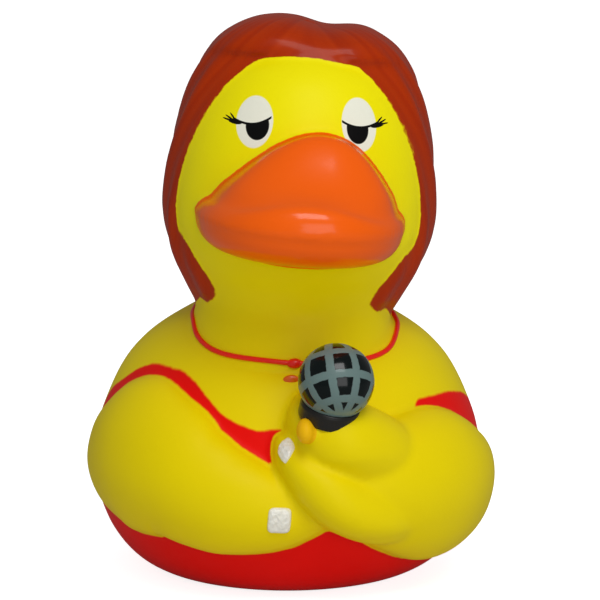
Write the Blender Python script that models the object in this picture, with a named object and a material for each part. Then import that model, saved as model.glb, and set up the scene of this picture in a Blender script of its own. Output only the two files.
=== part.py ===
"""Rubber duck dressed as a singer: one hollow piece of rotocast soft vinyl.

The duck faces -Y and stands on its flat base at z = 0. Every form starts as a sphere
primitive whose points are moved by a formula. The forms are joined into one skin,
and smaller copies of the main forms are cut out of it to leave an even wall.
"""

import math

import bmesh
import bpy
from mathutils import Matrix, Vector

MM = 0.001

# Wall of the casting and the moulder's vent in the base
WALL = 2.2 * MM
VENT_RADIUS = 1.5 * MM
VENT_BEHIND_CENTRE = 9.0 * MM

# Body: a round bowl with a flat base
BODY_HEIGHT = 47.5 * MM
BODY_HALF_WIDTH = 32.8 * MM
BODY_FRONT = 34.0 * MM
BODY_BACK = 35.5 * MM
BASE_SHARE = 0.603

# Share of the body's height, then share of its widest reach
BODY_OUTLINE = (
    (0.0, BASE_SHARE),
    (0.02, 0.700),
    (0.06, 0.795),
    (0.12, 0.875),
    (0.19, 0.934),
    (0.29, 0.981),
    (0.40, 1.0),
    (0.51, 0.975),
    (0.62, 0.92),
    (0.73, 0.84),
    (0.815, 0.735),
    (0.90, 0.56),
    (0.96, 0.370),
    (1.0, 0.0),
)

# Neckline of the dress: lowest in front
NECKLINE_HEIGHT = 0.69 * BODY_HEIGHT
NECKLINE_DIP = 8.0 * MM
NECKLINE_DIP_WIDTH = math.radians(28)

# Tail: a blunt upturned point at the back
TAIL_PAST_BODY = 6.0 * MM
TAIL_ROOT = Vector((0.0, 0.5 * BODY_BACK, 0.48 * BODY_HEIGHT))
TAIL_BEND = Vector((0.0, BODY_BACK, 0.53 * BODY_HEIGHT))
TAIL_TIP = Vector((0.0, BODY_BACK + TAIL_PAST_BODY, 0.8 * BODY_HEIGHT))
TAIL_HALF_WIDTH = 17.0 * MM
TAIL_HALF_DEPTH = 11.0 * MM
TAIL_TAPER = 0.62

# Head and neck: one egg on a short neck, leaning a little to the duck's left
NECK_IN_BODY = 9.5 * MM
HEAD_HEIGHT = 52.0 * MM
HEAD_HALF_WIDTH = 20.9 * MM
HEAD_FRONT = 22.0 * MM
HEAD_BACK = 20.0 * MM
HEAD_BASE = BODY_HEIGHT - NECK_IN_BODY
HEAD_PIVOT_RISE = 7.0 * MM
HEAD_MIDDLE = Vector((0.6 * MM, -0.235 * BODY_FRONT, HEAD_BASE + HEAD_PIVOT_RISE))
HEAD_LEAN = math.radians(3.3)
HEAD_TURN = math.radians(-1.0)

# Share of the way from the head's base to its top, then share of its widest reach
HEAD_OUTLINE = (
    (0.0, 0.84),
    (0.10, 0.785),
    (0.16, 0.755),
    (0.22, 0.79),
    (0.28, 0.872),
    (0.35, 0.953),
    (0.42, 0.992),
    (0.50, 1.0),
    (0.60, 0.984),
    (0.70, 0.94),
    (0.79, 0.862),
    (0.865, 0.762),
    (0.93, 0.61),
    (0.975, 0.41),
    (1.0, 0.0),
)

# Hair: a moulded mass over the crown, sides and back
HAIR_OVER_CROWN = 3.4 * MM
HAIR_OVER_SIDES = 1.5 * MM
HAIR_OVER_BACK = 2.5 * MM
HAIR_BEHIND_HEAD = 4.0 * MM
HAIR_HEM = HEAD_BASE - 5.0 * MM
HAIR_HEIGHT = HEAD_BASE + HEAD_HEIGHT + HAIR_OVER_CROWN - HAIR_HEM
HAIR_HALF_WIDTH = HEAD_HALF_WIDTH + HAIR_OVER_SIDES
HAIR_BACK = HEAD_BACK + HAIR_OVER_BACK
HAIR_FRINGE = 1.3 * MM
HAIR_FRONT_POWER = 3.2
HAIR_NAPE_POWER = 2.0
HAIR_TURN = math.radians(-3.5)

# Rows of the hair with a hairline wider than this stay this far inside the face's front
LOOSE_HAIRLINE = 0.6
LOOSE_HAIR_REACH = 0.86

# Centre parting, the slope of the crown, and locks that sweep back from the crown
PARTING_X = 2.6 * MM
PARTING_DEPTH = 1.2 * MM
PARTING_HALF_WIDTH = 4.2 * MM
CROWN_FROM = 0.7
CROWN_DROP = 0.5 * MM
CROWN_DROP_WIDTH = 2.0 * MM
LOCK_DEPTH = 0.45 * MM
LOCKS_ROUND = 15
LOCK_SWEEP = math.radians(70)
LOCK_FRONT_FADE = 0.7
HAIR_HOLLOW_FRONT = 0.35

# Share of the way from the hem to the top; shares of the widest reach sideways and back;
# the hairline's half width as a share of the head's half width at that height;
# and the crown's forward reach as a share of the hair's half width
HAIR_OUTLINE = (
    (0.0, 0.10, 1.20, 0.97, 0.0),
    (0.05, 0.50, 1.25, 0.97, 0.0),
    (0.12, 0.66, 1.18, 0.97, 0.0),
    (0.17, 0.70, 1.10, 0.92, 0.0),
    (0.20, 0.73, 1.06, 0.83, 0.0),
    (0.26, 0.81, 1.02, 0.78, 0.0),
    (0.31, 0.88, 1.0, 0.82, 0.0),
    (0.36, 0.94, 1.0, 0.88, 0.0),
    (0.42, 0.98, 1.0, 0.93, 0.0),
    (0.48, 0.995, 1.0, 0.945, 0.0),
    (0.56, 0.985, 1.0, 0.935, 0.0),
    (0.64, 0.955, 0.985, 0.91, 0.0),
    (0.72, 0.905, 0.955, 0.865, 0.0),
    (0.80, 0.845, 0.89, 0.80, 0.0),
    (0.86, 0.775, 0.81, 0.70, 0.4),
    (0.885, 0.735, 0.77, 0.60, 0.68),
    (0.91, 0.69, 0.72, 0.30, 0.735),
    (0.935, 0.63, 0.66, 0.0, 0.715),
    (0.96, 0.54, 0.56, 0.0, 0.655),
    (0.98, 0.43, 0.45, 0.0, 0.55),
    (0.993, 0.28, 0.30, 0.0, 0.37),
    (1.0, 0.0, 0.0, 0.0, 0.0),
)

# Bill: two mandibles on plans fuller than ovals that start inside the head. The saddle is
# the slope from the lip up to the face
BILL_HEIGHT = HEAD_BASE + 0.454 * HEAD_HEIGHT
BILL_MIDDLE = Vector((-0.3 * MM, -0.59 * HEAD_FRONT, BILL_HEIGHT))
BILL_LEAN = math.radians(1.6)
BILL_PLAN_POWER = 2.3
BILL_OVERLAP = 1.0 * MM
UPPER_RIM_POWER = 24
LOWER_RIM_POWER = 10
UPPER_BILL_HALF_WIDTH = 16.8 * MM
UPPER_BILL_REACH = 23.5 * MM
UPPER_BILL_RISE = 9.7 * MM
UPPER_LIP_AT_TIP = 4.6 * MM
UPPER_LIP_AT_CORNER = 1.3 * MM
LIP_FALL = 2
SADDLE_REACH = 0.579 * UPPER_BILL_REACH
SADDLE_HOLLOW = 2.8
SADDLE_ARCH = 2.0
SADDLE_DISH = 0.1
SADDLE_LEAN = 0.15
LOWER_BILL_INSIDE = 0.2 * MM
LOWER_BILL_BEHIND = 0.6 * MM
LOWER_BILL_HALF_WIDTH = UPPER_BILL_HALF_WIDTH - LOWER_BILL_INSIDE
LOWER_BILL_REACH = UPPER_BILL_REACH - LOWER_BILL_BEHIND
LOWER_LIP_DEPTH = 4.9 * MM
LOWER_ROOT_DEPTH = 3.0 * MM
CREASE_DEPTH = 1.8 * MM
CREASE_AT = 0.9
CREASE_SPREAD = 0.05
BILL_HOLLOW_MIDDLE = Vector((0.0, -0.32 * UPPER_BILL_REACH, 0.23 * UPPER_BILL_RISE))
BILL_HOLLOW_HALF_SIZES = Vector(
    (0.65 * UPPER_BILL_HALF_WIDTH, 0.447 * UPPER_BILL_REACH, 0.36 * UPPER_BILL_RISE)
)

# Wings and fingers, laid over the body's skin. Rows: share along the form, degrees round
# the body, share of the body's height, then half width and thickness in millimetres
RIGHT_HAND_WING = (
    (-1.0, -92.5, 0.412, 12.5, 2.5),
    (-0.6, -71.0, 0.453, 13.0, 3.6),
    (-0.3, -54.7, 0.478, 13.4, 4.8),
    (0.0, -38.4, 0.451, 11.6, 5.4),
    (0.17, -29.2, 0.406, 10.3, 5.6),
    (0.35, -19.6, 0.369, 9.7, 5.6),
    (0.7, -0.5, 0.335, 7.6, 5.2),
    (1.0, 15.7, 0.335, 3.5, 4.6),
)
LEFT_HAND_WING = (
    (-1.0, 97.8, 0.337, 10.5, 2.2),
    (-0.5, 71.6, 0.333, 11.1, 3.9),
    (0.0, 44.5, 0.383, 12.6, 6.4),
    (0.35, 26.2, 0.417, 11.2, 7.2),
    (0.65, 10.1, 0.455, 8.6, 7.6),
    (0.85, 0.5, 0.500, 8.6, 7.6),
    (1.0, -7.0, 0.540, 7.6, 7.2),
)
LOWER_FINGER = (
    (-1.0, 38.4, 0.270, 4.5, 6.5),
    (0.0, 14.8, 0.362, 4.8, 8.4),
    (0.5, 3.8, 0.455, 4.9, 9.0),
    (0.8, -2.4, 0.540, 4.9, 9.0),
    (1.0, -6.0, 0.600, 4.4, 8.4),
)
PALM = (
    (-1.0, 40.2, 0.450, 7.5, 5.6),
    (-0.3, 21.0, 0.530, 6.8, 8.6),
    (0.3, 8.7, 0.580, 6.2, 10.6),
    (0.7, 1.6, 0.610, 5.6, 10.9),
    (1.0, -3.6, 0.625, 5.0, 10.4),
)
UPPER_FINGER = (
    (-1.0, 13.0, 0.505, 4.8, 7.4),
    (0.0, 4.6, 0.620, 4.8, 7.2),
    (1.0, 0.8, 0.725, 3.6, 5.4),
)
WING_HALF_LENGTH = 20.0 * MM
WING_SINK = 1.3 * MM

# Microphone, held off the chest: collar, ball above it and a stem down into the palm
COLLAR_PLACE = (7.6, 0.638)
COLLAR_OFF_CHEST = 6.8 * MM
COLLAR_RADIUS = 4.8 * MM
COLLAR_HEIGHT = 3.0 * MM
COLLAR_ROUNDING = 0.7 * MM
MICROPHONE_AXIS = Vector((0.19, -0.25, 0.95)).normalized()
BALL_ABOVE_COLLAR = 5.3 * MM
BALL_RADIUS = 5.95 * MM
STEM_RADIUS = 3.4 * MM
STEM_REACH = 8.5 * MM

# Thumb tip on the microphone's collar
THUMB_FROM_COLLAR = Vector((-3.9, -3.2, -2.4)) * MM
THUMB_HALF_SIZES = Vector((1.4, 2.2, 2.0)) * MM

# Stones on the two hands: degrees round the body and share of its height
SQUARE_STONE_PLACE = (-4.5, 0.341)
SQUARE_STONE_HALF = Vector((2.0, 2.25)) * MM
KITE_STONE_PLACE = (-3.8, 0.537)
KITE_STONE_HALF = Vector((1.12, 1.62)) * MM
STONE_PROUD = 0.5 * MM
STONE_ROUNDING = 0.22

# Sphere grids: segments round, rings from end to end
BODY_GRID = (44, 26)
HEAD_GRID = (40, 26)
HAIR_GRID = (60, 32)
BILL_GRID = (36, 18)
WING_GRID = (22, 22)
FINGER_GRID = (16, 14)
TAIL_GRID = (20, 14)
BALL_GRID = (20, 12)
CAVITY_GRID = (20, 12)
SMALL_CAVITY_GRID = (12, 8)

COLOURS = {
    "vinyl_yellow": ((0.86, 0.74, 0.02), 0.42),
    "hair_paint": ((0.40, 0.06, 0.02), 0.35),
    "bill_paint": ((0.95, 0.20, 0.01), 0.30),
    "dress_paint": ((0.75, 0.01, 0.01), 0.38),
    "microphone_black": ((0.01, 0.012, 0.014), 0.20),
    "stone_white": ((0.80, 0.80, 0.76), 0.35),
}


def clear_scene():
    for obj in list(bpy.data.objects):
        bpy.data.objects.remove(obj, do_unlink=True)


def make_material(name):
    colour, roughness = COLOURS[name]
    material = bpy.data.materials.new(name)
    material.use_nodes = True
    shader = material.node_tree.nodes["Principled BSDF"]
    shader.inputs["Base Color"].default_value = (*colour, 1.0)
    shader.inputs["Roughness"].default_value = roughness
    shader.inputs["Metallic"].default_value = 0.0
    return material


def table_slopes(keys, values):
    """Slopes at the rows of a table that never overshoot its values."""
    steps = [
        (values[i + 1] - values[i]) / (keys[i + 1] - keys[i])
        for i in range(len(keys) - 1)
    ]
    slopes = [steps[0]]
    for before, after in zip(steps, steps[1:]):
        if before * after <= 0.0:
            slopes.append(0.0)
        else:
            slopes.append(2.0 * before * after / (before + after))
    slopes.append(steps[-1])
    return slopes


def read_table(rows, key):
    """Every value of a table at a key, on smooth curves through its rows."""
    keys = [row[0] for row in rows]
    key = min(max(key, keys[0]), keys[-1])
    index = max(i for i in range(len(keys) - 1) if keys[i] <= key)
    span = keys[index + 1] - keys[index]
    t = (key - keys[index]) / span
    found = []
    for column in range(1, len(rows[0])):
        values = [row[column] for row in rows]
        slopes = table_slopes(keys, values)
        found.append(
            (2 * t**3 - 3 * t**2 + 1) * values[index]
            + (t**3 - 2 * t**2 + t) * span * slopes[index]
            + (3 * t**2 - 2 * t**3) * values[index + 1]
            + (t**3 - t**2) * span * slopes[index + 1]
        )
    return found


def add_object(name, mesh, material, collection):
    mesh.materials.append(material)
    obj = bpy.data.objects.new(name, mesh)
    collection.objects.link(obj)
    return obj


def add_moved_sphere(name, grid, place, material, collection):
    """A sphere primitive whose points are moved by place(azimuth, latitude).

    Azimuth 0 is the front, -Y, and grows towards +X. Latitude runs from -90 to 90 degrees.
    """
    segments, rings = (round(count) for count in grid)
    shape = bmesh.new()
    bmesh.ops.create_uvsphere(shape, u_segments=segments, v_segments=rings, radius=1.0)
    for vertex in shape.verts:
        x, y, z = vertex.co
        vertex.co = place(math.atan2(x, -y), math.asin(max(-1.0, min(1.0, z))))
    if shape.calc_volume(signed=True) < 0.0:
        bmesh.ops.reverse_faces(shape, faces=shape.faces)
    mesh = bpy.data.meshes.new(name)
    shape.to_mesh(mesh)
    shape.free()
    mesh.shade_smooth()
    return add_object(name, mesh, material, collection)


def body_point(azimuth, height, inset=0.0):
    """A point of the body's skin, or of a skin that far inside it."""
    (reach,) = read_table(BODY_OUTLINE, height / BODY_HEIGHT)
    forward = math.cos(azimuth)
    depth = BODY_FRONT if forward > 0.0 else BODY_BACK
    x = max(reach * BODY_HALF_WIDTH - inset, 0.0) * math.sin(azimuth)
    y = -max(reach * depth - inset, 0.0) * forward
    return Vector((x, y, height))


def spread_height(share):
    """Rings closer together near both ends of an upright form."""
    return 0.6 * (0.5 - 0.5 * math.cos(math.pi * share)) + 0.4 * share


def place_on_body(inset):
    flat_share = 0.14

    def place(azimuth, latitude):
        share = latitude / math.pi + 0.5
        if share < flat_share:
            point = body_point(azimuth, 0.0, inset)
            shrink = share / flat_share
            return Vector((point.x * shrink, point.y * shrink, inset))
        risen = spread_height((share - flat_share) / (1.0 - flat_share))
        point = body_point(azimuth, risen * BODY_HEIGHT, inset)
        point.z = inset + risen * (BODY_HEIGHT - 2.0 * inset)
        return point

    return place


def body_normal(azimuth, height):
    step = math.radians(1)
    rise = 0.01 * BODY_HEIGHT
    round_it = body_point(azimuth + step, height) - body_point(azimuth - step, height)
    up_it = body_point(azimuth, height + rise) - body_point(azimuth, height - rise)
    return round_it.cross(up_it).normalized()


def skin_spot(place):
    """Arc length round the body, and height, of a place in degrees and share of height."""
    return Vector((math.radians(place[0]) * BODY_HALF_WIDTH, place[1] * BODY_HEIGHT))


def off_skin(spot, lift):
    """The point that stands off the body's skin by lift."""
    azimuth = spot.x / BODY_HALF_WIDTH
    height = min(max(spot.y, 0.02 * BODY_HEIGHT), 0.97 * BODY_HEIGHT)
    return body_point(azimuth, height) + body_normal(azimuth, height) * lift


def place_on_wing(rows, inset):
    """Wraps a form over the body's skin, along the places of its rows."""
    thinnest = 0.3 * MM
    beside = 0.02

    def centre(share):
        return skin_spot(read_table(rows, share)[:2])

    def place(azimuth, latitude):
        share = math.sin(latitude)
        half_width, thickness = (v * MM for v in read_table(rows, share)[2:])
        half_width = max(half_width - inset, thinnest)
        thickness = max(thickness - inset, thinnest)
        sink = WING_SINK + inset
        ahead = centre(min(share + beside, 1.0)) - centre(max(share - beside, -1.0))
        across = Vector((-ahead.y, ahead.x)).normalized()
        closing = math.cos(latitude)
        spot = centre(share * (1.0 - inset / WING_HALF_LENGTH))
        spot += across * half_width * closing * math.sin(azimuth)
        out = math.cos(azimuth)
        lift = (thickness + sink if out > 0.0 else WING_SINK) * out * closing - sink
        return off_skin(spot, lift)

    return place


def place_on_tail(inset):
    def place(azimuth, latitude):
        t = 0.5 + 0.5 * math.sin(latitude)
        middle = (
            TAIL_ROOT * (1 - t) ** 2 + TAIL_BEND * 2 * t * (1 - t) + TAIL_TIP * t**2
        )
        along = ((TAIL_BEND - TAIL_ROOT) * (1 - t) + (TAIL_TIP - TAIL_BEND) * t).normalized()
        side = Vector((1, 0, 0))
        up = side.cross(along).normalized()
        taper = (1.0 - TAIL_TAPER * t) * math.cos(latitude)
        wide = max(TAIL_HALF_WIDTH - inset, 0.0) * taper
        deep = max(TAIL_HALF_DEPTH - inset, 0.0) * taper
        middle = middle - along * inset * (2 * t - 1)
        return middle + side * wide * math.sin(azimuth) + up * deep * math.cos(azimuth)

    return place


def pose_head(point):
    """Leans and turns a point with the head."""
    turn = Matrix.Rotation(HEAD_TURN, 3, "Z") @ Matrix.Rotation(HEAD_LEAN, 3, "Y")
    return HEAD_MIDDLE + turn @ (point - Vector((0.0, 0.0, HEAD_MIDDLE.z)))


def head_reach(height):
    (reach,) = read_table(HEAD_OUTLINE, (height - HEAD_BASE) / HEAD_HEIGHT)
    return reach


def place_on_head(inset):
    def place(azimuth, latitude):
        share = spread_height(latitude / math.pi + 0.5)
        reach = head_reach(HEAD_BASE + share * HEAD_HEIGHT)
        if share == 0.0:
            reach = 0.0
        forward = math.cos(azimuth)
        depth = HEAD_FRONT if forward > 0.0 else HEAD_BACK
        x = max(reach * HEAD_HALF_WIDTH - inset, 0.0) * math.sin(azimuth)
        y = -max(reach * depth - inset, 0.0) * forward
        z = HEAD_BASE + share * (HEAD_HEIGHT - inset)
        return pose_head(Vector((x, y, z)))

    return place


def hair_power(share):
    """Fullness of the hair's section: boxy round the face, oval at the neck."""
    neck_top, jaw = 0.2, 0.32
    blend = min(max((share - neck_top) / (jaw - neck_top), 0.0), 1.0)
    return HAIR_NAPE_POWER + (HAIR_FRONT_POWER - HAIR_NAPE_POWER) * blend


def hair_front(height, half_width, hairline, power):
    """How far forward the hair must reach to come out of the head at the hairline."""
    reach = head_reach(height)
    across = hairline * reach * HEAD_HALF_WIDTH
    face_y = -reach * HEAD_FRONT * math.sqrt(max(1.0 - hairline**2, 0.0))
    share = max(1.0 - (min(across / half_width, 0.98)) ** power, 0.0) ** (1.0 / power)
    front = (HAIR_BEHIND_HEAD - face_y) / share + HAIR_FRINGE * (1.0 - hairline)
    if hairline > LOOSE_HAIRLINE:
        front = min(front, HAIR_BEHIND_HEAD + LOOSE_HAIR_REACH * reach * HEAD_FRONT)
    return front


def place_in_hair(azimuth, latitude):
    """The hollow behind the hair: its back and sides, one wall further in."""
    share = spread_height(latitude / math.pi + 0.5)
    sideways, backwards, _, _ = read_table(HAIR_OUTLINE, share)
    inset = WALL + LOCK_DEPTH
    height = HAIR_HEM + share * (HAIR_HEIGHT - inset)
    x = max(sideways * HAIR_HALF_WIDTH - inset, 0.0) * math.sin(azimuth)
    reach = max(backwards * HAIR_BACK - inset, 0.0)
    y = HAIR_BEHIND_HEAD - reach * min(math.cos(azimuth), HAIR_HOLLOW_FRONT)
    return pose_head(Matrix.Rotation(HAIR_TURN, 3, "Z") @ Vector((x, y, height)))


def lock_height(azimuth, share):
    """How far a lock stands out at a place on the hair: least at the hem, crown and brow."""
    hem, crown = 0.1, 0.15
    lock = LOCK_DEPTH * math.sin(LOCKS_ROUND * (abs(azimuth) + LOCK_SWEEP * share**2))
    lock *= min(share / hem, 1.0) * min((1.0 - share) / crown, 1.0)
    return lock * (1.0 - LOCK_FRONT_FADE * max(math.cos(azimuth), 0.0))


def crown_dip(x, share):
    """How far the crown sinks along the parting and towards the duck's left."""
    crown = min(max((share - CROWN_FROM) / (1.0 - CROWN_FROM), 0.0), 1.0)
    groove = math.exp(-(((x - PARTING_X) / PARTING_HALF_WIDTH) ** 2))
    slope = 1.0 / (1.0 + math.exp(-(x - PARTING_X) / CROWN_DROP_WIDTH))
    return crown * (PARTING_DEPTH * groove + CROWN_DROP * slope)


def place_on_hair(azimuth, latitude):
    share = spread_height(latitude / math.pi + 0.5)
    sideways, backwards, hairline, crown_reach = read_table(HAIR_OUTLINE, share)
    height = HAIR_HEM + share * HAIR_HEIGHT
    half_width = max(sideways * HAIR_HALF_WIDTH, 0.2 * MM)
    forward = math.cos(azimuth)
    side = math.sin(azimuth)
    if forward > 0.0:
        power = hair_power(share)
        front = hair_front(height, half_width, hairline, power)
        front = max(front, crown_reach * HAIR_HALF_WIDTH)
        x = half_width * math.copysign(abs(side) ** (2.0 / power), side)
        y = HAIR_BEHIND_HEAD - front * forward ** (2.0 / power)
    else:
        x = half_width * side
        y = HAIR_BEHIND_HEAD - backwards * HAIR_BACK * forward
    out = Vector((x, y - HAIR_BEHIND_HEAD, 0.0)).normalized()
    point = Vector((x, y, height - crown_dip(x, share))) + out * lock_height(azimuth, share)
    return pose_head(Matrix.Rotation(HAIR_TURN, 3, "Z") @ point)


def place_bill(local):
    """From the bill's own frame, with its mouth line at z = 0, to the duck's."""
    return pose_head(BILL_MIDDLE + Matrix.Rotation(BILL_LEAN, 3, "Y") @ local)


def bill_rise(x, y):
    """Height of the upper bill's saddle above its lip: a scoop between raised flanks."""
    rim = max(1.0 - (abs(y) / UPPER_BILL_REACH) ** BILL_PLAN_POWER, 1e-6)
    edge = UPPER_BILL_HALF_WIDTH * rim ** (1.0 / BILL_PLAN_POWER)
    across = min(abs(x) / edge, 1.0)
    ahead = (UPPER_BILL_REACH + y) / SADDLE_REACH
    back = min(ahead * (1.0 + SADDLE_DISH * across**2), 1.0)
    slope = 1.0 - (1.0 - back**SADDLE_HOLLOW) ** 2
    return UPPER_BILL_RISE * slope * (1.0 - across**SADDLE_ARCH)


def bill_plan(azimuth, half_width, reach):
    """The rim of a mandible seen from above: fuller than an ellipse."""
    side = math.sin(azimuth)
    forward = math.cos(azimuth)
    x = half_width * math.copysign(abs(side) ** (2.0 / BILL_PLAN_POWER), side)
    y = -reach * math.copysign(abs(forward) ** (2.0 / BILL_PLAN_POWER), forward)
    return x, y


def lip_height(x):
    """Height of the upper bill's sharp lip, an arch from corner to corner."""
    side = min(abs(x) / UPPER_BILL_HALF_WIDTH, 1.0)
    arch = (1.0 - side**BILL_PLAN_POWER) ** LIP_FALL
    return UPPER_LIP_AT_CORNER + (UPPER_LIP_AT_TIP - UPPER_LIP_AT_CORNER) * arch


def corner_crease(x, r):
    """Depth of the crease behind the lip, deepest between the tip and the corners."""
    side = min(abs(x) / UPPER_BILL_HALF_WIDTH, 1.0)
    near = math.exp(-(((r - CREASE_AT) / CREASE_SPREAD) ** 2))
    return CREASE_DEPTH * side**2 * (1.0 - side**6) * near


def place_on_upper_bill(azimuth, latitude):
    r = math.cos(latitude)
    x, y = (r * v for v in bill_plan(azimuth, UPPER_BILL_HALF_WIDTH, UPPER_BILL_REACH))
    rounding = math.sqrt(max(1.0 - r**UPPER_RIM_POWER, 0.0))
    if latitude > 0.0:
        z = (lip_height(x) + bill_rise(x, y)) * rounding - corner_crease(x, r)
        x += SADDLE_LEAN * z
    else:
        z = -BILL_OVERLAP * rounding
    return place_bill(Vector((x, y, z)))


def place_on_lower_bill(azimuth, latitude):
    r = math.cos(latitude)
    x, y = (r * v for v in bill_plan(azimuth, LOWER_BILL_HALF_WIDTH, LOWER_BILL_REACH))
    rounding = math.sqrt(max(1.0 - r**LOWER_RIM_POWER, 0.0))
    if latitude > 0.0:
        z = BILL_OVERLAP * rounding
    else:
        z = -(LOWER_LIP_DEPTH + LOWER_ROOT_DEPTH * (1.0 - r)) * rounding
    return place_bill(Vector((x, y, z)))


def add_ball(name, middle, half_sizes, grid, material, collection):
    def place(azimuth, latitude):
        flat = math.cos(latitude)
        unit = Vector((flat * math.sin(azimuth), -flat * math.cos(azimuth), math.sin(latitude)))
        return middle + Vector(a * b for a, b in zip(unit, half_sizes))

    return add_moved_sphere(name, grid, place, material, collection)


def add_turned_bar(name, middle, axis, radius, length, rounding, material, collection):
    """A short round bar with rounded rims, along an axis."""
    shape = bmesh.new()
    bmesh.ops.create_cone(
        shape, cap_ends=True, segments=24, radius1=radius, radius2=radius, depth=length
    )
    if rounding:
        rims = [e for e in shape.edges if abs(e.verts[0].co.z - e.verts[1].co.z) < 1e-7]
        bmesh.ops.bevel(
            shape, geom=rims, offset=rounding, segments=2, profile=0.5, affect="EDGES"
        )
    turn = Vector((0, 0, 1)).rotation_difference(axis).to_matrix().to_4x4()
    bmesh.ops.transform(shape, matrix=Matrix.Translation(middle) @ turn, verts=shape.verts)
    mesh = bpy.data.meshes.new(name)
    shape.to_mesh(mesh)
    shape.free()
    return add_object(name, mesh, material, collection)


def over_wing(rows, place):
    """A place on the body, the skin's direction there, and the wing's skin above it."""
    spot = skin_spot(place)
    foot = off_skin(spot, 0.0)
    out = body_normal(spot.x / BODY_HALF_WIDTH, spot.y)
    skin = place_on_wing(rows, 0.0)
    turns = [math.radians(degrees) for degrees in range(-76, 77, 4)]
    samples = [skin(azimuth, latitude) for azimuth in turns for latitude in turns]
    nearest = min(samples, key=lambda point: (point - foot).cross(out).length)
    return foot + out * (nearest - foot).dot(out), out


def add_stone(name, rows, place, half_sizes, turn, material, collection):
    """A raised flat-topped stone on a wing's skin, turned in its own plane."""
    seat, out = over_wing(rows, place)
    shape = bmesh.new()
    bmesh.ops.create_cube(shape, size=2.0)
    bmesh.ops.bevel(
        shape, geom=shape.edges[:], offset=STONE_ROUNDING, segments=2, profile=0.5,
        affect="EDGES",
    )
    spin = Matrix.Rotation(turn, 3, "Z")
    bmesh.ops.rotate(shape, verts=shape.verts, cent=(0, 0, 0), matrix=spin)
    upright = Vector((0, 0, 1)).rotation_difference(out) @ Vector((0, 1, 0))
    sideways = upright.cross(out)
    for vertex in shape.verts:
        x, y, z = vertex.co
        flat = sideways * x * half_sizes.x + upright * y * half_sizes.y
        vertex.co = seat + flat + out * z * STONE_PROUD
    bmesh.ops.recalc_face_normals(shape, faces=shape.faces)
    mesh = bpy.data.meshes.new(name)
    shape.to_mesh(mesh)
    shape.free()
    return add_object(name, mesh, material, collection)


def paint_dress(body, dress):
    """Gives the body's faces below the neckline the dress's paint."""
    body.data.materials.append(dress)
    for face in body.data.polygons:
        middle = face.center
        azimuth = math.atan2(middle.x, -middle.y)
        dip = NECKLINE_DIP * math.exp(-((azimuth / NECKLINE_DIP_WIDTH) ** 2))
        face.material_index = 1 if middle.z < NECKLINE_HEIGHT - dip else 0


def add_wing(name, rows, grid, inset, material, collection):
    return add_moved_sphere(name, grid, place_on_wing(rows, inset), material, collection)


def add_bill(material, collection):
    return [
        add_moved_sphere("lower_bill", BILL_GRID, place_on_lower_bill, material, collection),
        add_moved_sphere("upper_bill", BILL_GRID, place_on_upper_bill, material, collection),
    ]


def add_hands(yellow, collection):
    return [
        add_wing("right_wing", RIGHT_HAND_WING, WING_GRID, 0.0, yellow, collection),
        add_wing("left_wing", LEFT_HAND_WING, WING_GRID, 0.0, yellow, collection),
        add_wing("lower_finger", LOWER_FINGER, FINGER_GRID, 0.0, yellow, collection),
        add_wing("palm", PALM, FINGER_GRID, 0.0, yellow, collection),
        add_wing("upper_finger", UPPER_FINGER, FINGER_GRID, 0.0, yellow, collection),
    ]


def add_microphone(black, yellow, collection):
    """The microphone in the hand, and the thumb tip on its collar."""
    collar = off_skin(skin_spot(COLLAR_PLACE), COLLAR_OFF_CHEST)
    axis = MICROPHONE_AXIS
    ball = collar + axis * BALL_ABOVE_COLLAR
    stem = ball - axis * STEM_REACH / 2
    return [
        add_ball(
            "thumb", collar + THUMB_FROM_COLLAR, THUMB_HALF_SIZES, BALL_GRID, yellow, collection
        ),
        add_turned_bar(
            "microphone_stem", stem, axis, STEM_RADIUS, STEM_REACH, 0.0, black, collection
        ),
        add_turned_bar(
            "microphone_collar", collar, axis, COLLAR_RADIUS, COLLAR_HEIGHT,
            COLLAR_ROUNDING, black, collection,
        ),
        add_ball("microphone_ball", ball, [BALL_RADIUS] * 3, BALL_GRID, black, collection),
    ]


def add_stones(white, collection):
    return [
        add_stone(
            "square_stone", RIGHT_HAND_WING, SQUARE_STONE_PLACE, SQUARE_STONE_HALF,
            0.0, white, collection,
        ),
        add_stone(
            "kite_stone", LOWER_FINGER, KITE_STONE_PLACE, KITE_STONE_HALF,
            math.radians(45), white, collection,
        ),
    ]


def add_hollows(yellow, collection):
    """Copies of the main forms, one wall further in, and the vent that opens them."""
    vent_middle = Vector((0.0, VENT_BEHIND_CENTRE, WALL / 2))
    up = Vector((0, 0, 1))
    grid = SMALL_CAVITY_GRID
    return [
        add_moved_sphere("body_hollow", CAVITY_GRID, place_on_body(WALL), yellow, collection),
        add_moved_sphere("head_hollow", CAVITY_GRID, place_on_head(WALL), yellow, collection),
        add_moved_sphere("hair_hollow", CAVITY_GRID, place_in_hair, yellow, collection),
        add_moved_sphere("tail_hollow", grid, place_on_tail(WALL), yellow, collection),
        add_wing("right_wing_hollow", RIGHT_HAND_WING, grid, WALL, yellow, collection),
        add_wing("left_wing_hollow", LEFT_HAND_WING, grid, WALL, yellow, collection),
        add_ball(
            "bill_hollow", place_bill(BILL_HOLLOW_MIDDLE), BILL_HOLLOW_HALF_SIZES,
            grid, yellow, collection,
        ),
        add_turned_bar("vent", vent_middle, up, VENT_RADIUS, WALL * 3, 0.0, yellow, collection),
    ]


def join(target, forms, operation):
    for form in forms:
        form.hide_render = True
        form.display_type = "WIRE"
        step = target.modifiers.new(form.name, "BOOLEAN")
        step.operation = operation
        step.solver = "EXACT"
        step.material_mode = "TRANSFER"
        step.object = form


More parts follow.
